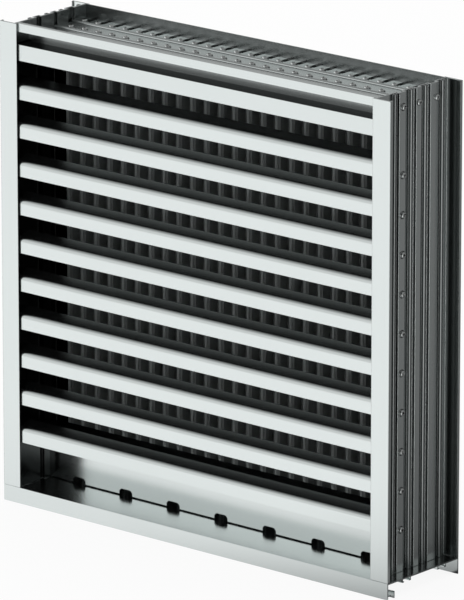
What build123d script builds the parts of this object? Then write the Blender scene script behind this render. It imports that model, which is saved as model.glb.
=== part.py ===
"""Wind-driven rain louver: horizontal front blades before a bank of vertical rear blades.

Millimetres, +Z up. The origin is the bottom centre of the whole louver, the front faces -Y and
+X is to the right of someone who looks at the front. Every frame member and blade is an aluminium
extrusion, so each is one drawn section that is extruded over its length.

Sections of the level members are drawn in (depth behind the front face, height).
Sections of the upright members are drawn in (X, depth behind the front face).
The front blades, their lands and the drain wall are placed from the front face, the rear blades and
what carries them from the rear face, and the head from the top. The number of blades and of drain
slots follows the width and the height.
"""
import os

from build123d import *

os.makedirs("parts", exist_ok=True)

# Overall size
louver_width = 947.0
louver_height = 944.0
louver_depth = 208.0

# Extruded walls
frame_wall = 2.5
blade_wall = 2.0
rear_blade_wall = 1.6

# Clearances between members that meet
butt_gap = 0.2
seam_gap = 0.4
lap_gap = 0.4

# Self-tapping screws and the open chases that they cut their thread in
screw_head_diameter = 12.5
screw_head_height = 2.2
chase_bore = 5.2
chase_wall = 1.9
chase_slot = 2.4

# Jambs
jamb_flange = 41.0
jamb_web_inset = 34.0
flange_return = 8.0
rear_flange_return = 5.0
land_height = 4.0
land_depths = [(60.3, 78.5), (109.5, 124.0), (louver_depth - 58.0, louver_depth - 35.0)]
land_screw_depths = [71.0, 115.4, louver_depth - 41.5]
jamb_chase_depths = [50.5, 97.5, louver_depth - 70.0, louver_depth - 20.0]
jamb_edge_return = 4.0

# Front blades
front_blade_pitch = 75.0
front_blade_setback = 4.3
lowest_blade_height = 121.6
nose_radius = 12.0
nose_lip = 6.0
crest_depth = 33.0
crest_height = 39.5
shoulder_slope = 0.38
tail_depth = 84.0
tail_height = -25.0
tail_gutter = 7.0
blade_chase_height = -8.6

# Rear blades
rear_blade_pitch = 34.45
rear_nose_depth = louver_depth - 86.0
rear_nose_width = 5.0
rear_elbow_depth = louver_depth - 60.0
rear_elbow_shift = 8.0
rear_knee_depth = louver_depth - 36.0
rear_tail_depth = louver_depth - 12.0
rear_hook = 6.0
rear_elbow_hook = 3.5
rear_front_chase = (5.1, louver_depth - 81.0)
rear_back_chase = (-5.1, louver_depth - 31.0)

# Head
head_setback = 4.3
head_flange = 16.0
head_recess_depth = 41.0
head_ledge_height = louver_height - 41.2
head_face = 30.7
head_face_return = 5.0
head_plate_height = louver_height - 27.0
head_joint_depth = 120.3
head_chase_height = louver_height - 28.3
head_rear_skirt = 32.0
head_cutout_width = 13.0
head_cutout_length = 18.5
head_cutout_shift = -3.9

# Sill
sill_height = 31.3
sill_joint_depth = 118.0
hem_depth = 21.0
hem_front_height = 19.0
hem_rear_height = 12.5
hem_web_height = 7.0
rail_depths = (56.0, louver_depth - 49.5)
rail_width = 25.0
rail_height = 6.0
rail_lip = 5.0
rear_dam_depth = louver_depth - 7.0
rear_dam_height = 26.0

# Drain wall behind the front trough
drain_wall_depth = 92.0
drain_wall_bend = 90.0
drain_wall_gap = 2.5
dam_depth = 118.5
dam_height = 138.5
drain_slot_pitch = 119.0
drain_slot_width = 33.0
drain_slot_height = 13.6
drain_slot_radius = 8.0
drain_slot_shift = -5.5

# Derived places
front_y = -louver_depth / 2
half_width = louver_width / 2
web_outer = half_width - jamb_web_inset
web_inner = web_outer - frame_wall
land_outer = web_outer + land_height + frame_wall
member_length = 2 * (web_inner - butt_gap)
chase_radius = chase_bore / 2 + chase_wall
jamb_bottom = sill_height + seam_gap
jamb_length = louver_height - jamb_bottom
rear_blade_bottom = sill_height + butt_gap
rear_blade_length = head_chase_height - chase_radius - butt_gap - rear_blade_bottom
sill_underside = sill_height - frame_wall

# Counts, and the first place of each row
rear_blade_count = int(member_length / rear_blade_pitch)
first_rear_blade_x = -rear_blade_pitch * (rear_blade_count - 1) / 2
front_blade_count = int((head_ledge_height - head_face - lowest_blade_height) / front_blade_pitch)
drain_slot_count = int(member_length / drain_slot_pitch)
first_drain_slot_x = drain_slot_shift - drain_slot_pitch * (drain_slot_count - 1) / 2


def across(x):
    """Plane for the section of a level member that starts at x and is extruded towards +X."""
    return Plane(origin=(x, front_y, 0), x_dir=(0, 1, 0), z_dir=(1, 0, 0))


def upright(z):
    """Plane for the section of an upright member that starts at height z."""
    return Plane(origin=(0, front_y, z), x_dir=(1, 0, 0), z_dir=(0, 0, 1))


def facing_side(side, x):
    """Plane at x that faces away from the louver on one side, drawn in (depth, height)."""
    return Plane(origin=(x, front_y, 0), x_dir=(0, side, 0), z_dir=(side, 0, 0))


def wall_strip(points, wall, radius=0.0):
    """Adds a wall of even thickness whose middle line runs through the points."""
    with BuildLine() as path:
        if radius:
            FilletPolyline(*points, radius=radius)
        else:
            Polyline(*points)
    trace(path.line, line_width=wall)


def screw_chase(centre, slot_angle):
    """Adds an open screw chase, a C-shaped bore whose slot points along slot_angle."""
    with Locations(centre):
        Circle(chase_radius)
        Circle(chase_bore / 2, mode=Mode.SUBTRACT)
    with Locations(Location((centre[0], centre[1], 0), (0, 0, slot_angle))):
        Rectangle(2 * chase_radius, chase_slot, align=(Align.MIN, Align.CENTER), mode=Mode.SUBTRACT)


def screw_channel(centre, way):
    """Adds a screw channel with flat walls, which opens along its sketch's x, way +1 or -1."""
    outside = chase_bore + 2 * chase_wall
    with Locations(centre):
        Rectangle(outside, outside)
        Rectangle(chase_bore, chase_bore, mode=Mode.SUBTRACT)
        Rectangle(outside / 2, chase_slot, align=(Align.MIN if way > 0 else Align.MAX, Align.CENTER),
                  mode=Mode.SUBTRACT)


def save(name, sub_part):
    """Labels a finished sub-part and writes it under its own name."""
    sub_part.part.label = name
    export_step(sub_part.part, f"parts/{name}.step")


# Jambs: the web stands inside two flanges, steps out at three screw lands and carries four chases
def jamb_section(side):
    """Draws the jamb section, side +1 for the right jamb and -1 for the left one."""
    web = web_outer - frame_wall / 2
    land = web + land_height + frame_wall
    points = [(side * web, 0.0)]
    for start, end in land_depths:
        front, back = start + frame_wall / 2, end - frame_wall / 2
        points += [(side * web, front), (side * land, front), (side * land, back), (side * web, back)]
    points.append((side * web, louver_depth))
    wall_strip(points, frame_wall)
    flange_middle = side * (half_width - jamb_flange / 2)
    lip_middle = side * (half_width - frame_wall / 2)
    with Locations((flange_middle, frame_wall / 2), (flange_middle, louver_depth - frame_wall / 2)):
        Rectangle(jamb_flange, frame_wall)
    with Locations((lip_middle, flange_return / 2)):
        Rectangle(frame_wall, flange_return)
    with Locations((lip_middle, louver_depth - rear_flange_return / 2)):
        Rectangle(frame_wall, rear_flange_return)
    edge_middle = side * (half_width - jamb_flange + blade_wall / 2)
    with Locations((edge_middle, jamb_edge_return / 2)):
        Rectangle(blade_wall, jamb_edge_return)
    for depth in jamb_chase_depths:
        screw_chase((side * (web_outer + chase_radius - chase_wall / 2), depth), 90 - 90 * side)


with BuildPart() as jamb_left:
    with BuildSketch(upright(jamb_bottom)):
        jamb_section(-1)
    extrude(amount=jamb_length)
save("jamb_left", jamb_left)

with BuildPart() as jamb_right:
    with BuildSketch(upright(jamb_bottom)):
        jamb_section(1)
    extrude(amount=jamb_length)
save("jamb_right", jamb_right)


# Front head: flange, open recess, flat face below it and the plate that runs back over the blades
head_middle = head_setback + frame_wall / 2
head_web_height = louver_height - head_flange + frame_wall / 2
plate_middle = head_plate_height - frame_wall / 2
with BuildPart() as front_head:
    with BuildSketch(across(-member_length / 2)):
        face_bottom = head_ledge_height - head_face + frame_wall / 2
        wall_strip(
            [
                (head_middle + flange_return, louver_height - frame_wall / 2),
                (head_middle, louver_height - frame_wall / 2),
                (head_middle, head_web_height),
                (head_recess_depth, head_web_height),
                (head_recess_depth, head_ledge_height - frame_wall / 2),
                (head_middle, head_ledge_height - frame_wall / 2),
                (head_middle, face_bottom),
                (head_middle + head_face_return, face_bottom),
            ],
            frame_wall,
        )
        wall_strip([(head_recess_depth, plate_middle), (head_joint_depth, plate_middle)], frame_wall)
        for screw_depth in land_screw_depths[:2]:
            screw_chase((screw_depth, head_chase_height), -90)
    extrude(amount=member_length)
save("front_head", front_head)

# Rear head: plate over the rear blades, with the rear flange turned up and a skirt turned down
rear_blade_xs = [first_rear_blade_x + rear_blade_pitch * i for i in range(rear_blade_count)]
rear_leg_middle = louver_depth - frame_wall - lap_gap - frame_wall / 2
head_cutout_depth = rear_leg_middle - frame_wall / 2 - lap_gap - head_cutout_length / 2
with BuildPart() as rear_head:
    with BuildSketch(across(-member_length / 2)):
        wall_strip([(head_joint_depth + lap_gap, plate_middle), (rear_leg_middle, plate_middle)],
                   frame_wall)
        wall_strip(
            [(rear_leg_middle, louver_height), (rear_leg_middle, head_plate_height - head_rear_skirt)],
            frame_wall,
        )
        screw_chase((land_screw_depths[2], head_chase_height), -90)
    extrude(amount=member_length)
    with BuildSketch(upright(head_plate_height - frame_wall)):
        with Locations(*[(x + head_cutout_shift, head_cutout_depth) for x in rear_blade_xs]):
            Rectangle(head_cutout_width, head_cutout_length)
    extrude(amount=frame_wall, mode=Mode.SUBTRACT)
save("rear_head", rear_head)


# Sills run the full width under the jambs, and the jambs stand on them
def under_floor_rail(depth):
    """Adds the two hooks of a shallow T-shaped rail under the sill floor."""
    hook_height = sill_underside - rail_height + blade_wall / 2
    for way in (-1, 1):
        wall_strip(
            [
                (depth + way * (rail_width - blade_wall) / 2, sill_underside + frame_wall / 2),
                (depth + way * (rail_width - blade_wall) / 2, hook_height),
                (depth + way * (rail_width / 2 - rail_lip), hook_height),
            ],
            blade_wall,
        )


with BuildPart() as front_sill:
    with BuildSketch(across(-half_width)):
        wall_strip(
            [
                (frame_wall / 2, 0.0),
                (frame_wall / 2, sill_height - frame_wall / 2),
                (sill_joint_depth, sill_height - frame_wall / 2),
            ],
            frame_wall,
        )
        wall_strip(
            [
                (frame_wall / 2, hem_front_height),
                (hem_depth - blade_wall / 2, hem_rear_height),
                (hem_depth - blade_wall / 2, 0.0),
            ],
            blade_wall,
        )
        wall_strip([(frame_wall / 2, hem_web_height), (hem_depth / 2, hem_web_height)], blade_wall)
        under_floor_rail(rail_depths[0])
    extrude(amount=louver_width)
save("front_sill", front_sill)

with BuildPart() as rear_sill:
    with BuildSketch(across(-half_width)):
        wall_strip(
            [
                (sill_joint_depth + lap_gap, sill_height - frame_wall / 2),
                (louver_depth - frame_wall / 2, sill_height - frame_wall / 2),
                (louver_depth - frame_wall / 2, 0.0),
            ],
            frame_wall,
        )
        under_floor_rail(rail_depths[1])
    extrude(amount=louver_width)
    with BuildSketch(across(-member_length / 2)):
        with Locations((rear_dam_depth, sill_height)):
            Rectangle(frame_wall, rear_dam_height, align=(Align.CENTER, Align.MIN))
    extrude(amount=member_length)
save("rear_sill", rear_sill)


# Drain wall: stands behind the front trough and steps back to the dam before the rear blades
wall_foot = sill_height + drain_wall_gap
with BuildPart() as drain_wall:
    with BuildSketch(across(-member_length / 2)):
        step = dam_depth - drain_wall_depth
        wall_strip(
            [
                (drain_wall_depth, wall_foot),
                (drain_wall_depth, drain_wall_bend),
                (dam_depth, drain_wall_bend + step),
                (dam_depth, dam_height),
            ],
            blade_wall,
        )
    extrude(amount=member_length)
    slot_top = sill_height + drain_slot_height
    with BuildSketch(Plane(origin=(0, front_y + drain_wall_depth + blade_wall, 0), x_dir=(1, 0, 0),
                           z_dir=(0, -1, 0))):
        slot_xs = [first_drain_slot_x + drain_slot_pitch * i for i in range(drain_slot_count)]
        with Locations(*[(x, slot_top) for x in slot_xs]):
            RectangleRounded(drain_slot_width, 2 * drain_slot_height, drain_slot_radius,
                             align=(Align.CENTER, Align.MAX))
    extrude(amount=2 * blade_wall, mode=Mode.SUBTRACT)
save("drain_wall", drain_wall)


# Front blades: vertical nose, rounded shoulder, sloping crest and a tail that falls to a gutter
def front_blade_section(base):
    """Draws one front blade whose nose ends at height base."""
    nose = front_blade_setback + blade_wall / 2
    crest = base + crest_height - blade_wall / 2
    shoulder = crest - shoulder_slope * (crest_depth - nose)
    wall_strip([(nose, base), (nose, shoulder), (crest_depth, crest)], blade_wall,
               (nose_radius - blade_wall / 2,))
    wall_strip([(nose, base + blade_wall / 2), (nose + nose_lip, base + blade_wall / 2)], blade_wall)
    wall_strip(
        [
            (crest_depth, crest),
            (tail_depth, base + tail_height),
            (tail_depth + tail_gutter, base + tail_height),
            (tail_depth + tail_gutter, base + tail_height + tail_gutter),
        ],
        blade_wall,
    )
    screw_channel((land_screw_depths[0], base + blade_chase_height), -1)


for row in range(front_blade_count):
    blade_base = lowest_blade_height + front_blade_pitch * (front_blade_count - 1 - row)
    with BuildPart() as front_blade:
        with BuildSketch(across(-member_length / 2)):
            front_blade_section(blade_base)
        extrude(amount=member_length)
    save(f"front_blade_{row + 1:02d}", front_blade)


# Rear blades: nose strip, front limb with its channel, hooked elbow, swept rear limb and tail hook
def rear_blade_section(x):
    """Draws one rear blade about its middle x."""
    elbow = (x + rear_elbow_shift, rear_elbow_depth)
    wall_strip(
        [
            (x - rear_nose_width / 2, rear_nose_depth),
            (x + rear_nose_width / 2, rear_nose_depth),
            elbow,
            (x - rear_elbow_shift, rear_knee_depth),
            (x - rear_elbow_shift, rear_tail_depth),
            (x - rear_elbow_shift + rear_hook, rear_tail_depth),
        ],
        rear_blade_wall,
    )
    wall_strip(
        [
            (x + rear_elbow_shift, rear_elbow_depth - rear_blade_wall / 2),
            (x + rear_elbow_shift + rear_elbow_hook, rear_elbow_depth - rear_blade_wall / 2),
            (x + rear_elbow_shift + rear_elbow_hook, rear_elbow_depth - rear_hook),
        ],
        rear_blade_wall,
    )
    screw_channel((x + rear_front_chase[0], rear_front_chase[1]), -1)
    screw_channel((x + rear_back_chase[0], rear_back_chase[1]), 1)


for i, blade_x in enumerate(rear_blade_xs):
    with BuildPart() as rear_blade:
        with BuildSketch(upright(rear_blade_bottom)):
            rear_blade_section(blade_x)
        extrude(amount=rear_blade_length)
    save(f"rear_blade_{i + 1:02d}", rear_blade)


# Side screws: the heads of the screws that hold the head and the front blades between the jambs
first_screw_height = lowest_blade_height + blade_chase_height
side_screw_places = [(land_screw_depths[0], first_screw_height + front_blade_pitch * row)
                     for row in range(front_blade_count)]
side_screw_places += [(depth, head_chase_height) for depth in land_screw_depths]
for side, name in ((-1, "side_screws_left"), (1, "side_screws_right")):
    with BuildPart() as side_screws:
        with BuildSketch(facing_side(side, side * land_outer)):
            with Locations(*[(side * depth, z) for depth, z in side_screw_places]):
                Circle(screw_head_diameter / 2)
        extrude(amount=screw_head_height)
    save(name, side_screws)
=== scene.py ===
"""Looks of the wind-driven rain louver: mill-finish extrusions, screws, studio and camera.

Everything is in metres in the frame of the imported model: the front faces -Y, +Z is up and the
origin is the bottom centre of the louver.
"""
from __future__ import annotations

import logging
import math
from dataclasses import dataclass, field
from enum import Enum

import bmesh
import bpy
from mathutils import Matrix, Vector


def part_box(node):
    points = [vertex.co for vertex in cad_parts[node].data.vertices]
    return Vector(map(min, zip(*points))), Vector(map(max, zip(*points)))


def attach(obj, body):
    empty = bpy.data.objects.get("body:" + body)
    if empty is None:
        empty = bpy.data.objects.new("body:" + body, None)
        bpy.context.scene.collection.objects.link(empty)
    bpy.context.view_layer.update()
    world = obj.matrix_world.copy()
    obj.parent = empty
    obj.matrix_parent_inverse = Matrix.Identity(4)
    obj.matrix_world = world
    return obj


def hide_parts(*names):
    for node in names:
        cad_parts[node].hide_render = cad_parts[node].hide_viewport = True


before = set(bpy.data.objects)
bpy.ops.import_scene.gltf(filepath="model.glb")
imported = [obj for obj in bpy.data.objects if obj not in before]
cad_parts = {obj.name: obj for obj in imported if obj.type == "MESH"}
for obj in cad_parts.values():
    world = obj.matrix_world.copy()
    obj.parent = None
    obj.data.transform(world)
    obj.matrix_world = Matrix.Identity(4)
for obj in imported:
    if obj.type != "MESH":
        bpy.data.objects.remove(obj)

LOG = logging.getLogger("rain_louver")
BODY = "root"
MM = 0.001
GOLDEN_ANGLE = math.radians(137.508)

NOISE_SPAN = (0.3, 0.7)

RGB = tuple[float, float, float]
Point = tuple[float, float, float]
Span = tuple[float, float]


class Run(Enum):
    """Direction in which a member was extruded, which its die lines follow."""

    ACROSS = "x"
    UPRIGHT = "z"


# node helpers


def link(tree: bpy.types.NodeTree, out: bpy.types.NodeSocket, into: bpy.types.NodeSocket) -> None:
    """Joins two sockets of one tree."""
    tree.links.new(out, into)


def math_node(tree: bpy.types.NodeTree, kind: str, first: object, second: object = None) -> bpy.types.NodeSocket:
    """Adds a math node.

    Args:
        tree: The tree that the node goes into.
        kind: The operation's name, such as "MULTIPLY".
        first: A number or an output socket.
        second: A number or an output socket, or None where the operation takes one value.

    Returns:
        The node's output socket.
    """
    node = tree.nodes.new("ShaderNodeMath")
    node.operation = kind
    for socket, value in zip(node.inputs, (first, second)):
        if isinstance(value, bpy.types.NodeSocket):
            link(tree, value, socket)
        elif value is not None:
            socket.default_value = value
    return node.outputs[0]


def range_node(tree: bpy.types.NodeTree, value: bpy.types.NodeSocket, low: float, high: float,
               to_low: float, to_high: float, smooth: bool = False) -> bpy.types.NodeSocket:
    """Adds a map range node.

    Args:
        tree: The tree that the node goes into.
        value: The socket that is mapped.
        low: Value that becomes to_low.
        high: Value that becomes to_high.
        to_low: Result at low.
        to_high: Result at high.
        smooth: Whether the change eases in and out.

    Returns:
        The mapped value's socket.
    """
    node = tree.nodes.new("ShaderNodeMapRange")
    node.interpolation_type = "SMOOTHSTEP" if smooth else "LINEAR"
    for name, number in (("From Min", low), ("From Max", high), ("To Min", to_low), ("To Max", to_high)):
        node.inputs[name].default_value = number
    link(tree, value, node.inputs["Value"])
    return node.outputs["Result"]


def dimmed_in_mirrors(tree: bpy.types.NodeTree, colour: bpy.types.NodeSocket,
                      share: float) -> bpy.types.NodeSocket:
    """Paints shade into a metal's colour where other metal mirrors it, by a share chosen to match the photograph;
    a share above one paints light instead.

    Args:
        tree: The material's tree.
        colour: The metal's own colour.
        share: Part of the colour that is left in a mirror image.

    Returns:
        The colour's socket.
    """
    path = tree.nodes.new("ShaderNodeLightPath")
    scale = tree.nodes.new("ShaderNodeVectorMath")
    scale.operation = "SCALE"
    link(tree, colour, scale.inputs[0])
    link(tree, range_node(tree, path.outputs["Is Glossy Ray"], 0.0, 1.0, 1.0, share), scale.inputs["Scale"])
    return scale.outputs[0]


def new_group(name: str, inputs: dict[str, tuple[str, float]], outputs: dict[str, str]) -> tuple:
    """Makes an empty shader node group.

    Args:
        name: The group's name.
        inputs: Socket name to socket type and default value.
        outputs: Socket name to socket type.

    Returns:
        The tree, its input node and its output node.
    """
    tree = bpy.data.node_groups.new(name, "ShaderNodeTree")
    for label, (kind, value) in inputs.items():
        socket = tree.interface.new_socket(label, in_out="INPUT", socket_type=kind)
        if kind == "NodeSocketFloat":
            socket.default_value = value
    for label, kind in outputs.items():
        tree.interface.new_socket(label, in_out="OUTPUT", socket_type=kind)
    return tree, tree.nodes.new("NodeGroupInput"), tree.nodes.new("NodeGroupOutput")


@dataclass(frozen=True)
class ShadedZone:
    """Box of the louver, in metres, where shade is painted into the metal: it keeps a share of its brightness.

    The box holds for both halves of the louver, so its X is a distance from the middle. The share holds for the
    metal as it is seen, and mirrored holds for its image in other metal, where a share above one paints light.
    """

    low: Point
    high: Point
    share: float
    mirrored: float | None = None


class SharedEffects:
    """Node groups that more than one finish places."""

    def __init__(self) -> None:
        """Builds each group once."""
        self.die_lines = self._die_lines()
        self.clouding = self._clouding()
        self.inside_box = self._inside_box()

    def _die_lines(self) -> bpy.types.NodeTree:
        """Streaks that an extrusion die leaves along the member."""
        tree, given, made = new_group(
            "die_lines",
            {"Vector": ("NodeSocketVector", 0.0), "Lines per metre": ("NodeSocketFloat", 400.0)},
            {"Lines": "NodeSocketFloat"},
        )
        scaled = tree.nodes.new("ShaderNodeVectorMath")
        scaled.operation = "SCALE"
        link(tree, given.outputs["Vector"], scaled.inputs[0])
        link(tree, given.outputs["Lines per metre"], scaled.inputs["Scale"])
        noise = tree.nodes.new("ShaderNodeTexNoise")
        noise.inputs["Scale"].default_value = 1.0
        noise.inputs["Detail"].default_value = 3.0
        noise.inputs["Roughness"].default_value = 0.65
        link(tree, scaled.outputs[0], noise.inputs["Vector"])
        link(tree, noise.outputs["Fac"], made.inputs["Lines"])
        return tree

    def _inside_box(self) -> bpy.types.NodeTree:
        """One inside a box and nought outside it, the same on both sides of X = 0."""
        tree, given, made = new_group(
            "inside_box",
            {"Vector": ("NodeSocketVector", 0.0), "Low": ("NodeSocketVector", 0.0),
             "High": ("NodeSocketVector", 0.0)},
            {"Inside": "NodeSocketFloat"},
        )
        parts = {}
        for label in ("Vector", "Low", "High"):
            parts[label] = tree.nodes.new("ShaderNodeSeparateXYZ")
            link(tree, given.outputs[label], parts[label].inputs[0])
        inside = 1.0
        for axis in "XYZ":
            place = parts["Vector"].outputs[axis]
            if axis == "X":
                place = math_node(tree, "ABSOLUTE", place)
            for kind, bound in (("GREATER_THAN", "Low"), ("LESS_THAN", "High")):
                test = math_node(tree, kind, place, parts[bound].outputs[axis])
                inside = math_node(tree, "MULTIPLY", test, inside)
        link(tree, inside, made.inputs["Inside"])
        return tree

    def _clouding(self) -> bpy.types.NodeTree:
        """Soft patches where the mill finish is a little duller or brighter."""
        tree, given, made = new_group(
            "mill_clouding",
            {"Vector": ("NodeSocketVector", 0.0), "Patches per metre": ("NodeSocketFloat", 12.0)},
            {"Clouding": "NodeSocketFloat"},
        )
        noise = tree.nodes.new("ShaderNodeTexNoise")
        noise.inputs["Detail"].default_value = 5.0
        noise.inputs["Roughness"].default_value = 0.6
        link(tree, given.outputs["Vector"], noise.inputs["Vector"])
        link(tree, given.outputs["Patches per metre"], noise.inputs["Scale"])
        link(tree, noise.outputs["Fac"], made.inputs["Clouding"])
        return tree


def zone_share(tree: bpy.types.NodeTree, effects: SharedEffects, zones: tuple[ShadedZone, ...],
               vector: bpy.types.NodeSocket) -> bpy.types.NodeSocket | None:
    """Multiplies the shares of the shaded zones that a point lies in.

    Args:
        tree: The material's tree.
        effects: The shared node groups.
        zones: The zones of the finish.
        vector: The point, in metres.

    Returns:
        The product's socket, or None where the finish has no zone.
    """
    product = None
    for zone in zones:
        box = tree.nodes.new("ShaderNodeGroup")
        box.node_tree = effects.inside_box
        link(tree, vector, box.inputs["Vector"])
        box.inputs["Low"].default_value = zone.low
        box.inputs["High"].default_value = zone.high
        share = range_node(tree, box.outputs["Inside"], 0.0, 1.0, 1.0, zone.share)
        if zone.mirrored is not None:
            image = range_node(tree, box.outputs["Inside"], 0.0, 1.0, 1.0, zone.mirrored)
            path = tree.nodes.new("ShaderNodeLightPath")
            change = math_node(tree, "MULTIPLY", math_node(tree, "SUBTRACT", image, share),
                               path.outputs["Is Glossy Ray"])
            share = math_node(tree, "ADD", share, change)
        product = share if product is None else math_node(tree, "MULTIPLY", product, share)
    return product


def place_group(tree: bpy.types.NodeTree, group: bpy.types.NodeTree, vector: bpy.types.NodeSocket,
                amount_name: str, amount: float) -> bpy.types.NodeSocket:
    """Places a shared effect in a material.

    Args:
        tree: The material's tree.
        group: The shared effect.
        vector: Coordinates for the effect.
        amount_name: Name of the effect's size input.
        amount: Value of that input.

    Returns:
        The effect's output socket.
    """
    node = tree.nodes.new("ShaderNodeGroup")
    node.node_tree = group
    link(tree, vector, node.inputs["Vector"])
    node.inputs[amount_name].default_value = amount
    return node.outputs[0]


# finishes


@dataclass(frozen=True)
class MillAluminium:
    """Bare aluminium as it leaves the extrusion press.

    The die lines run along the member, and the roughness drifts a little in soft patches. Painted shade darkens
    its colour in the shaded zones and in mirror images; a share above one paints light there instead.
    """

    name: str
    run: Run
    # share of the colour left in mirror images: painted shade below one, painted light above one
    mirrored_share: float
    bright: RGB = (0.765, 0.815, 0.807)
    dull: RGB = (0.750, 0.800, 0.792)
    metallic: float = 1.0
    roughness: float = 0.20
    roughness_drift: float = 0.02
    lines_per_metre: float = 420.0
    line_stretch: float = 0.004
    line_height: float = 0.000008
    line_share: float = 0.55
    bump_strength: float = 0.35
    patches_per_metre: float = 9.0
    # boxes of painted shade and, in mirror images, painted light
    zones: tuple[ShadedZone, ...] = ()
    edge_radius: float = 0.0

    def build(self, effects: SharedEffects) -> bpy.types.Material:
        """Makes the material.

        Args:
            effects: The shared node groups.

        Returns:
            The finished material.
        """
        material = bpy.data.materials.new(self.name)
        material.use_nodes = True
        tree = material.node_tree
        shader = tree.nodes["Principled BSDF"]
        shader.inputs["Metallic"].default_value = self.metallic
        place = tree.nodes.new("ShaderNodeTexCoord")
        stretch = tree.nodes.new("ShaderNodeVectorMath")
        stretch.operation = "MULTIPLY"
        along = self.line_stretch
        stretch.inputs[1].default_value = (along, 1.0, 1.0) if self.run is Run.ACROSS else (1.0, 1.0, along)
        link(tree, place.outputs["Object"], stretch.inputs[0])
        lines = place_group(tree, effects.die_lines, stretch.outputs[0], "Lines per metre", self.lines_per_metre)
        clouds = place_group(tree, effects.clouding, place.outputs["Object"], "Patches per metre",
                             self.patches_per_metre)
        mix = tree.nodes.new("ShaderNodeMix")
        mix.data_type = "RGBA"
        mix.inputs["A"].default_value = (*self.dull, 1.0)
        mix.inputs["B"].default_value = (*self.bright, 1.0)
        share = math_node(tree, "ADD", math_node(tree, "MULTIPLY", lines, self.line_share),
                          math_node(tree, "MULTIPLY", clouds, 1.0 - self.line_share))
        link(tree, range_node(tree, share, *NOISE_SPAN, 0.0, 1.0), mix.inputs["Factor"])
        # painted shade in mirror images and in the shaded zones
        colour = dimmed_in_mirrors(tree, mix.outputs["Result"], self.mirrored_share)
        shade = zone_share(tree, effects, self.zones, place.outputs["Object"])
        if shade is not None:
            scale = tree.nodes.new("ShaderNodeVectorMath")
            scale.operation = "SCALE"
            link(tree, colour, scale.inputs[0])
            link(tree, shade, scale.inputs["Scale"])
            colour = scale.outputs[0]
        link(tree, colour, shader.inputs["Base Color"])
        low, high = self.roughness - self.roughness_drift, self.roughness + self.roughness_drift
        link(tree, range_node(tree, share, *NOISE_SPAN, high, low), shader.inputs["Roughness"])
        bump = tree.nodes.new("ShaderNodeBump")
        bump.inputs["Strength"].default_value = self.bump_strength
        bump.inputs["Distance"].default_value = self.line_height
        link(tree, lines, bump.inputs["Height"])
        if self.edge_radius:
            edges = tree.nodes.new("ShaderNodeBevel")
            edges.samples = 8
            edges.inputs["Radius"].default_value = self.edge_radius
            link(tree, edges.outputs["Normal"], bump.inputs["Normal"])
        link(tree, bump.outputs["Normal"], shader.inputs["Normal"])
        return material


@dataclass(frozen=True)
class ScrewSteel:
    """Plain, slightly clouded stainless steel of the screws, or the painted shade of the dark ring round their
    heads and of their recesses.
    """

    name: str
    mirrored_share: float
    bright: RGB = (0.95, 0.99, 0.98)
    dull: RGB = (0.84, 0.88, 0.87)
    roughness: float = 0.08
    roughness_drift: float = 0.02
    patches_per_metre: float = 600.0
    cloud_span: Span = (0.35, 0.65)

    def build(self, effects: SharedEffects) -> bpy.types.Material:
        """Makes the material.

        Args:
            effects: The shared node groups.

        Returns:
            The finished material.
        """
        material = bpy.data.materials.new(self.name)
        material.use_nodes = True
        tree = material.node_tree
        shader = tree.nodes["Principled BSDF"]
        shader.inputs["Metallic"].default_value = 1.0
        place = tree.nodes.new("ShaderNodeTexCoord")
        clouds = place_group(tree, effects.clouding, place.outputs["Object"], "Patches per metre",
                             self.patches_per_metre)
        mix = tree.nodes.new("ShaderNodeMix")
        mix.data_type = "RGBA"
        mix.inputs["A"].default_value = (*self.dull, 1.0)
        mix.inputs["B"].default_value = (*self.bright, 1.0)
        link(tree, range_node(tree, clouds, *self.cloud_span, 0.0, 1.0), mix.inputs["Factor"])
        # painted shade: the colour is dimmed where other metal mirrors it
        colour = dimmed_in_mirrors(tree, mix.outputs["Result"], self.mirrored_share)
        link(tree, colour, shader.inputs["Base Color"])
        low, high = self.roughness - self.roughness_drift, self.roughness + self.roughness_drift
        link(tree, range_node(tree, clouds, *self.cloud_span, high, low), shader.inputs["Roughness"])
        return material


# geometry helpers


def solid_boxes(node: str) -> list[tuple[Vector, Vector]]:
    """Finds the separate solids of a CAD node.

    Args:
        node: The node's name.

    Returns:
        The lowest and highest corner of each solid, sorted by height and then depth.
    """
    shape = bmesh.new()
    shape.from_mesh(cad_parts[node].data)
    bmesh.ops.remove_doubles(shape, verts=shape.verts, dist=1e-6)
    left = set(shape.verts)
    found = []
    while left:
        open_ends = [left.pop()]
        island = list(open_ends)
        while open_ends:
            for edge in open_ends.pop().link_edges:
                for vertex in edge.verts:
                    if vertex in left:
                        left.remove(vertex)
                        open_ends.append(vertex)
                        island.append(vertex)
        points = [v.co for v in island]
        low = Vector([min(p[i] for p in points) for i in range(3)])
        high = Vector([max(p[i] for p in points) for i in range(3)])
        found.append((low, high))
    shape.free()
    return sorted(found, key=lambda box: (round(box[0].z, 4), round(box[0].y, 4)))


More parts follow.
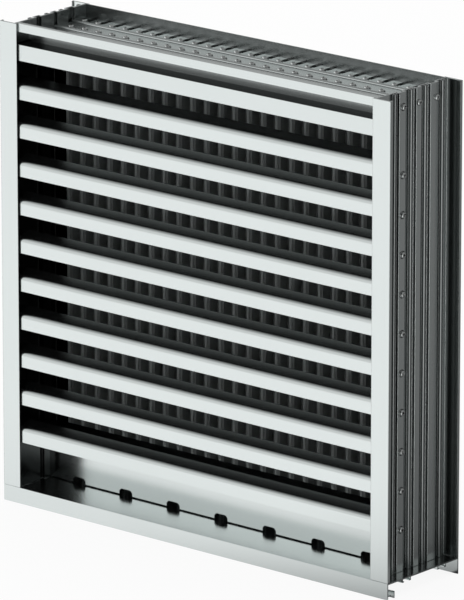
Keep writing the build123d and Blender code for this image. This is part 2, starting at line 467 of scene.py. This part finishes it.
@dataclass
class PanHeadScrew:
    """Pan-head screw with a cross recess, painted dark as shade, and a thin dark ring of painted shadow round its
    head.

    It is drawn with its seat at z = 0 and its head towards +Z.
    """

    head_radius: float = 6.25 * MM
    head_height: float = 5.0 * MM
    edge_share: float = 0.22
    flat_radius: float = 3.45 * MM
    recess_half_width: float = 1.05 * MM
    recess_half_length: float = 3.3 * MM
    recess_depth: float = 2.6 * MM
    recess_taper: float = 0.55
    # width and height of the dark ring of painted shadow round the head
    shadow_ring_width: float = 1.2 * MM
    narrow_shadow_ring_width: float = 0.05 * MM
    shadow_ring_height: float = 0.06 * MM
    segments: int = 40
    rounding_steps: int = 7

    def add_to(self, shape: bmesh.types.BMesh, place: Matrix, narrow: bool = False) -> None:
        """Adds the head to a mesh.

        Args:
            shape: The mesh that the head is added to.
            place: Where the screw's seat is, with +Z out of the surface.
            narrow: Whether the land is too narrow for the full dark ring of painted shadow round the head.
        """
        # the dark ring round the head is painted shadow
        shadow_ring = self.narrow_shadow_ring_width if narrow else self.shadow_ring_width
        rings = [self._ring(shape, place, self.head_radius + shadow_ring, self.shadow_ring_height / 2),
                 self._ring(shape, place, self.head_radius, self.shadow_ring_height)]
        edge_height = self.head_height * self.edge_share
        for step in range(self.rounding_steps + 1):
            turn = math.pi / 2 * step / self.rounding_steps
            radius = self.flat_radius + (self.head_radius - self.flat_radius) * math.cos(turn)
            height = edge_height + (self.head_height - edge_height) * math.sin(turn)
            rings.append(self._ring(shape, place, radius, height))
        for row, (lower, upper) in enumerate(zip(rings, rings[1:])):
            for i in range(self.segments):
                j = (i + 1) % self.segments
                face = shape.faces.new((lower[i], lower[j], upper[j], upper[i]))
                face.smooth = row > 0
                # the first row is the dark ring of painted shadow and takes the second finish
                face.material_index = 0 if row else 1
        shape.faces.new(list(reversed(rings[0])))
        self._add_recess(shape, place, rings[-1])

    def _ring(self, shape: bmesh.types.BMesh, place: Matrix, radius: float, height: float) -> list:
        """Adds one ring of vertices and returns it."""
        turns = [2 * math.pi * i / self.segments for i in range(self.segments)]
        points = [Vector((radius * math.cos(t), radius * math.sin(t), height)) for t in turns]
        return [shape.verts.new(place @ point) for point in points]

    def _cross(self, scale: float, height: float) -> list[Vector]:
        """Returns the twelve corners of the recess at a height."""
        w, a = self.recess_half_width * (0.5 + scale / 2), self.recess_half_length * scale
        corners = [(a, -w), (a, w), (w, w), (w, a), (-w, a), (-w, w), (-a, w), (-a, -w), (-w, -w), (-w, -a),
                   (w, -a), (w, -w)]
        return [Vector((x, y, height)) for x, y in corners]

    def _add_recess(self, shape: bmesh.types.BMesh, place: Matrix, rim: list) -> None:
        """Closes the top with a flat that has the cross recess in it."""
        mouth = [shape.verts.new(place @ p) for p in self._cross(1.0, self.head_height)]
        floor = [shape.verts.new(place @ p)
                 for p in self._cross(self.recess_taper, self.head_height - self.recess_depth)]
        edges = [shape.edges.get((rim[i], rim[(i + 1) % len(rim)])) for i in range(len(rim))]
        edges += [shape.edges.new((mouth[i], mouth[(i + 1) % len(mouth)])) for i in range(len(mouth))]
        bmesh.ops.triangle_fill(shape, use_beauty=True, edges=edges, normal=place.to_3x3() @ Vector((0, 0, 1)))
        # the recess takes the second finish: painted shade
        for i in range(len(mouth)):
            j = (i + 1) % len(mouth)
            shape.faces.new((mouth[i], mouth[j], floor[j], floor[i])).material_index = 1
        shape.faces.new(floor).material_index = 1


def make_piece(name: str, shape: bmesh.types.BMesh, materials: tuple[bpy.types.Material, ...]) -> bpy.types.Object:
    """Turns a mesh into a piece that rides on the louver.

    Args:
        name: The piece's name.
        shape: Its mesh, which is freed.
        materials: Its finishes, in the order of the faces' material numbers.

    Returns:
        The new object.
    """
    bmesh.ops.recalc_face_normals(shape, faces=shape.faces)
    mesh = bpy.data.meshes.new(name)
    shape.to_mesh(mesh)
    shape.free()
    for material in materials:
        mesh.materials.append(material)
    piece = bpy.data.objects.new(name, mesh)
    bpy.context.scene.collection.objects.link(piece)
    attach(piece, BODY)
    LOG.info("made %s: %d vertices", name, len(mesh.vertices))
    return piece


def dress(node: str, material: bpy.types.Material) -> None:
    """Gives a CAD node its finish.

    Args:
        node: The node's name.
        material: The finish.
    """
    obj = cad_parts[node]
    obj.data.materials.clear()
    obj.data.materials.append(material)
    LOG.info("dressed %s with %s", node, material.name)


# sub-assemblies


def jamb_zones() -> tuple[ShadedZone, ...]:
    """Places the zones of painted shade on the jambs.

    Returns:
        The face towards the blades, the groove behind each land, the foot that the sill's shelf mirrors and that
        gets painted light in that mirror image, the strip before the rear flange, and the chases.
    """
    inside = ShadedZone((0.0, -0.1035, 0.0), (0.4372, 0.105, 0.905), 0.08)
    grooves = [ShadedZone((0.4372, front, 0.0), (0.4447, back, 0.905), 0.08)
               for front, back in ((-0.0435, -0.0257), (0.0057, 0.0198), (0.0462, 0.0688))]
    foot = ShadedZone((0.4450, -0.1035, 0.0), (0.48, 0.0993, 0.047), 1.0, 2.5)
    strip = ShadedZone((0.4385, 0.0793, 0.0), (0.48, 0.1005, 0.95), 0.45)
    half_chase = 0.0047
    chases = [ShadedZone((0.4385, y - half_chase, 0.0), (0.48, y + half_chase, 0.95), 0.50)
              for y in (-0.0535, -0.0065, 0.034)]
    return inside, *grooves, foot, strip, *chases


def head_zones() -> tuple[ShadedZone, ...]:
    """Places the zones of painted shade and painted light on the head.

    Returns:
        The recess over the first blade, with painted shade, and the rear wall, with painted light in mirror
        images.
    """
    return (ShadedZone((-0.01, -0.0975, 0.9), (0.45, -0.055, 0.9285), 0.50),
            ShadedZone((-0.01, 0.0965, 0.9), (0.45, 0.105, 0.95), 1.0, 3.3))


@dataclass
class Frame:
    """Jambs, head halves, sill halves and drain wall."""

    # the number after the run is the share of each colour left in mirror images: painted shade, and painted light
    # for the drain wall's share above one
    jamb: MillAluminium = MillAluminium("jamb_aluminium", Run.UPRIGHT, 0.38, zones=jamb_zones(),
                                        edge_radius=2.4 * MM)
    head: MillAluminium = MillAluminium("head_aluminium", Run.ACROSS, 0.22, roughness=0.25,
                                        zones=head_zones())
    sill: MillAluminium = MillAluminium("sill_aluminium", Run.ACROSS, 0.95)
    wall: MillAluminium = MillAluminium("drain_wall_aluminium", Run.ACROSS, 1.12)

    def build(self, effects: SharedEffects) -> None:
        """Dresses each member of the frame."""
        groups = (
            (self.jamb, ("jamb_left", "jamb_right")),
            (self.head, ("front_head", "rear_head")),
            (self.sill, ("front_sill", "rear_sill")),
            (self.wall, ("drain_wall",)),
        )
        for finish, nodes in groups:
            material = finish.build(effects)
            for node in nodes:
                dress(node, material)


@dataclass
class BladeBanks:
    """The level front blades and the upright rear blades."""

    # the number after the run is the share left in mirror images: painted shade
    front: MillAluminium = MillAluminium("front_blade_aluminium", Run.ACROSS, 0.14)
    # painted shade: behind their noses the rear blades keep 0.55 of their brightness
    rear: MillAluminium = MillAluminium(
        "rear_blade_aluminium", Run.UPRIGHT, 0.30, metallic=0.35,
        zones=(ShadedZone((-0.01, 0.0180, 0.0), (0.45, 0.105, 0.95), 0.55),))

    def build(self, effects: SharedEffects) -> None:
        """Dresses every blade."""
        for finish, prefix in ((self.front, "front_blade_"), (self.rear, "rear_blade_")):
            material = finish.build(effects)
            for node in sorted(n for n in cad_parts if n.startswith(prefix)):
                dress(node, material)


@dataclass
class Screws:
    """Every screw that shows: in the jambs, on the head plate and under the sill."""

    # the number is the share of the colour left in mirror images: painted shade
    finish: ScrewSteel = ScrewSteel("screw_steel", 0.55)
    # painted shade: the dark ring round each head and the inside of each recess
    painted_shade_finish: ScrewSteel = ScrewSteel("screw_painted_shade", 0.2, bright=(0.06, 0.06, 0.06), dull=(0.03, 0.03, 0.03),
                                        roughness=0.5)
    screw: PanHeadScrew = field(default_factory=PanHeadScrew)
    plate_drop: float = 27.0 * MM
    floor_wall: float = 2.7 * MM
    front_offset: Span = (14.7 * MM, 5.8 * MM)
    back_offset: Span = (4.5 * MM, 55.8 * MM)

    def build(self, effects: SharedEffects) -> None:
        """Makes all the screws."""
        materials = (self.finish.build(effects), self.painted_shade_finish.build(effects))
        self._side_screws(materials)
        self._blade_screws(materials)

    def _side_screws(self, materials: tuple[bpy.types.Material, ...]) -> None:
        """Makes the screws in the lands of both jambs."""
        for side, name in ((-1, "left"), (1, "right")):
            node = f"side_screws_{name}"
            shape = bmesh.new()
            for i, (low, high) in enumerate(solid_boxes(node)):
                middle = (low + high) / 2
                seat = Vector((low.x if side > 0 else high.x, middle.y, middle.z))
                turn = Matrix.Rotation(side * math.pi / 2, 4, "Y") @ Matrix.Rotation(i * GOLDEN_ANGLE, 4, "Z")
                self.screw.add_to(shape, Matrix.Translation(seat) @ turn, narrow=middle.y > 0)
            piece = make_piece(f"side_screw_heads_{name}", shape, materials)
            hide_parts(node)

    def _blade_screws(self, materials: tuple[bpy.types.Material, ...]) -> None:
        """Makes the two rows above the rear blades and the two rows under them."""
        blades = sorted(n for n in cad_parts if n.startswith("rear_blade_"))
        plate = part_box("rear_head")[1].z - self.plate_drop
        for row, offset in (("front", self.front_offset), ("back", self.back_offset)):
            above, below = bmesh.new(), bmesh.new()
            for i, blade in enumerate(blades):
                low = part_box(blade)[0]
                x, y = low.x + offset[0], low.y + offset[1]
                turn = Matrix.Rotation(i * GOLDEN_ANGLE, 4, "Z")
                self.screw.add_to(above, Matrix.Translation((x, y, plate)) @ turn)
                flip = Matrix.Rotation(math.pi, 4, "X")
                self.screw.add_to(below, Matrix.Translation((x, y, low.z - self.floor_wall)) @ flip @ turn)
            make_piece(f"head_screws_{row}", above, materials)
            make_piece(f"sill_screws_{row}", below, materials)


# studio


@dataclass
class Studio:
    """Pale floor, soft light, surroundings and camera."""

    floor_size: float = 60.0
    floor_colour: RGB = (0.86, 0.86, 0.86)
    floor_white_share: float = 0.9
    bright_floor: float = 1.0
    dark_floor: float = 0.190
    dark_floor_near: float = 0.120
    corner_share: float = 0.88
    contact_share: float = 0.15
    under_share: float = 1.8
    glow_slope: Span = (0.4, 0.9)
    glow_span: Span = (-0.25, 0.387)
    dark_span: Span = (0.10, 1.20)
    front_span: Span = (-0.50, -0.10)
    front_share: float = 0.90
    corner_x_span: Span = (0.0, 0.3)
    corner_y_span: Span = (-0.30, -0.17)
    under_edge: Span = (0.455, 0.462)
    contact_edge: Span = (0.50, 0.58)
    past_front_span: Span = (-0.10, -0.085)
    left_sky: float = 0.92
    back_sky: float = 0.48
    right_sky: float = 0.25
    zenith: float = 0.22
    even_sky: float = 0.95
    back_turn: Span = (-0.15, 0.25)
    right_turn: Span = (-0.15, 0.15)
    zenith_rise: Span = (0.38, 0.85)
    sun_strength: float = 1.0
    sun_azimuth: float = -38.0
    sun_elevation: float = 55.0
    sun_angle: float = 105.0
    camera_azimuth: float = 40.42
    camera_elevation: float = 16.0
    camera_distance: float = 13.545
    camera_target: Point = (-0.0257, 0.0429, 0.4483)
    camera_lens: float = 433.6

    def build(self) -> None:
        """Makes the floor, the lamps, the world and the camera."""
        self._make_floor()
        self._make_sun()
        self._make_world()
        self._make_camera()
        bpy.context.scene.view_settings.view_transform = "Standard"

    def _make_floor(self) -> None:
        """Makes the floor, white to the camera apart from the louver's soft shadow."""
        half = self.floor_size / 2
        mesh = bpy.data.meshes.new("floor")
        corners = [(-half, -half, 0), (half, -half, 0), (half, half, 0), (-half, half, 0)]
        mesh.from_pydata(corners, [], [(0, 1, 2, 3)])
        floor = bpy.data.objects.new("floor", mesh)
        floor.location.z = -0.2 * MM
        bpy.context.scene.collection.objects.link(floor)
        material = bpy.data.materials.new("floor_paper")
        material.use_nodes = True
        tree = material.node_tree
        tree.nodes.clear()
        out = tree.nodes.new("ShaderNodeOutputMaterial")
        paper = tree.nodes.new("ShaderNodeBsdfDiffuse")
        paper.inputs["Color"].default_value = (*self.floor_colour, 1.0)
        white = tree.nodes.new("ShaderNodeEmission")
        seen = tree.nodes.new("ShaderNodeMixShader")
        path = tree.nodes.new("ShaderNodeLightPath")
        link(tree, math_node(tree, "MULTIPLY", path.outputs["Is Camera Ray"], self.floor_white_share),
             seen.inputs["Fac"])
        link(tree, paper.outputs[0], seen.inputs[1])
        link(tree, white.outputs[0], seen.inputs[2])
        # painted light and shade: to mirror rays the floor glows by place instead of being lit
        mirrored = tree.nodes.new("ShaderNodeEmission")
        link(tree, self._floor_glow(tree), mirrored.inputs["Strength"])
        final = tree.nodes.new("ShaderNodeMixShader")
        link(tree, path.outputs["Is Glossy Ray"], final.inputs["Fac"])
        link(tree, seen.outputs[0], final.inputs[1])
        link(tree, mirrored.outputs[0], final.inputs[2])
        link(tree, final.outputs[0], out.inputs["Surface"])
        mesh.materials.append(material)

    def _floor_glow(self, tree: bpy.types.NodeTree) -> bpy.types.NodeSocket:
        """Brightness of the floor as the metal mirrors it.

        It is painted light and shade: bright at the front and dim at the back right, a little darker near the
        louver's front and to the front right, with a painted contact shadow in a strip beside the louver's right
        side and painted light under the louver and behind it to the left of that strip.

        Args:
            tree: The floor's node tree.

        Returns:
            The brightness's socket.
        """
        place = tree.nodes.new("ShaderNodeTexCoord")
        split = tree.nodes.new("ShaderNodeSeparateXYZ")
        link(tree, place.outputs["Object"], split.inputs[0])
        x, y = split.outputs["X"], split.outputs["Y"]
        across = math_node(tree, "ADD", math_node(tree, "MULTIPLY", x, self.glow_slope[0]),
                           math_node(tree, "MULTIPLY", y, self.glow_slope[1]))
        turn = range_node(tree, across, *self.glow_span, 0.0, 1.0, smooth=True)
        back = range_node(tree, y, *self.dark_span, self.dark_floor_near, self.dark_floor)
        change = math_node(tree, "MULTIPLY", math_node(tree, "SUBTRACT", back, self.bright_floor), turn)
        glow = math_node(tree, "ADD", change, self.bright_floor)
        glow = math_node(tree, "MULTIPLY", glow, range_node(tree, y, *self.front_span, 1.0, self.front_share))
        corner = math_node(tree, "MULTIPLY", range_node(tree, x, *self.corner_x_span, 0.0, 1.0),
                           range_node(tree, y, *self.corner_y_span, 1.0, 0.0))
        glow = math_node(tree, "MULTIPLY", glow, range_node(tree, corner, 0.0, 1.0, 1.0, self.corner_share))
        beside = math_node(
            tree, "ADD", range_node(tree, x, *self.under_edge, self.under_share, self.contact_share),
            range_node(tree, x, *self.contact_edge, 0.0, 1.0 - self.contact_share, smooth=True))
        past_front = range_node(tree, y, *self.past_front_span, 0.0, 1.0)
        contact = math_node(tree, "MULTIPLY", math_node(tree, "SUBTRACT", beside, 1.0), past_front)
        return math_node(tree, "MULTIPLY", glow, math_node(tree, "ADD", contact, 1.0))

    def _make_sun(self) -> None:
        """Makes the one soft lamp."""
        lamp = bpy.data.lights.new("soft_sun", "SUN")
        lamp.energy = self.sun_strength
        lamp.angle = math.radians(self.sun_angle)
        sun = bpy.data.objects.new("soft_sun", lamp)
        bpy.context.scene.collection.objects.link(sun)
        sun.visible_glossy = False
        sun.rotation_mode = "QUATERNION"
        sun.rotation_quaternion = (-self._way(self.sun_azimuth, self.sun_elevation)).to_track_quat("-Z", "Y")

    def _make_world(self) -> None:
        """Makes the surroundings: white to the camera, bright at the left and dim at the right in the metal."""
        world = bpy.data.worlds.new("studio")
        bpy.context.scene.world = world
        world.use_nodes = True
        tree = world.node_tree
        tree.nodes.clear()
        out = tree.nodes.new("ShaderNodeOutputWorld")
        place = tree.nodes.new("ShaderNodeTexCoord")
        split = tree.nodes.new("ShaderNodeSeparateXYZ")
        link(tree, place.outputs["Generated"], split.inputs[0])
        path = tree.nodes.new("ShaderNodeLightPath")
        left = range_node(tree, split.outputs["Y"], *self.back_turn, self.left_sky, self.back_sky, smooth=True)
        turn = range_node(tree, split.outputs["X"], *self.right_turn, 0.0, 1.0, smooth=True)
        change = math_node(tree, "MULTIPLY", math_node(tree, "SUBTRACT", self.right_sky, left), turn)
        side = math_node(tree, "ADD", left, change)
        rise = range_node(tree, split.outputs["Z"], *self.zenith_rise, 0.0, 1.0, smooth=True)
        fall = math_node(tree, "MULTIPLY", math_node(tree, "SUBTRACT", self.zenith, side), rise)
        mirrored = tree.nodes.new("ShaderNodeBackground")
        link(tree, math_node(tree, "ADD", side, fall), mirrored.inputs["Strength"])
        even = tree.nodes.new("ShaderNodeBackground")
        even.inputs["Strength"].default_value = self.even_sky
        white = tree.nodes.new("ShaderNodeBackground")
        white.inputs["Color"].default_value = (1.0, 1.0, 1.0, 1.0)
        lit = tree.nodes.new("ShaderNodeMixShader")
        link(tree, path.outputs["Is Glossy Ray"], lit.inputs["Fac"])
        link(tree, even.outputs[0], lit.inputs[1])
        link(tree, mirrored.outputs[0], lit.inputs[2])
        both = tree.nodes.new("ShaderNodeMixShader")
        link(tree, path.outputs["Is Camera Ray"], both.inputs["Fac"])
        link(tree, lit.outputs[0], both.inputs[1])
        link(tree, white.outputs[0], both.inputs[2])
        link(tree, both.outputs[0], out.inputs["Surface"])

    def _make_camera(self) -> None:
        """Makes the camera at the photograph's angle."""
        camera = bpy.data.objects.new("camera", bpy.data.cameras.new("camera"))
        bpy.context.scene.collection.objects.link(camera)
        camera.data.lens = self.camera_lens
        camera.data.clip_start, camera.data.clip_end = 0.1, 100.0
        way = self._way(self.camera_azimuth, self.camera_elevation)
        camera.location = Vector(self.camera_target) + way * self.camera_distance
        camera.rotation_mode = "QUATERNION"
        camera.rotation_quaternion = (-way).to_track_quat("-Z", "Y")
        bpy.context.scene.camera = camera

    @staticmethod
    def _way(azimuth: float, elevation: float) -> Vector:
        """Returns the direction from the louver towards a place at that azimuth and elevation, in degrees."""
        a, e = math.radians(azimuth), math.radians(elevation)
        return Vector((math.sin(a) * math.cos(e), -math.cos(a) * math.cos(e), math.sin(e)))


def main() -> None:
    """Builds the louver's looks in order."""
    logging.basicConfig(level=logging.INFO, format="%(name)s: %(message)s")
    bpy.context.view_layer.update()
    effects = SharedEffects()
    Frame().build(effects)
    BladeBanks().build(effects)
    Screws().build(effects)
    Studio().build()


if __name__ == "__main__":
    main()
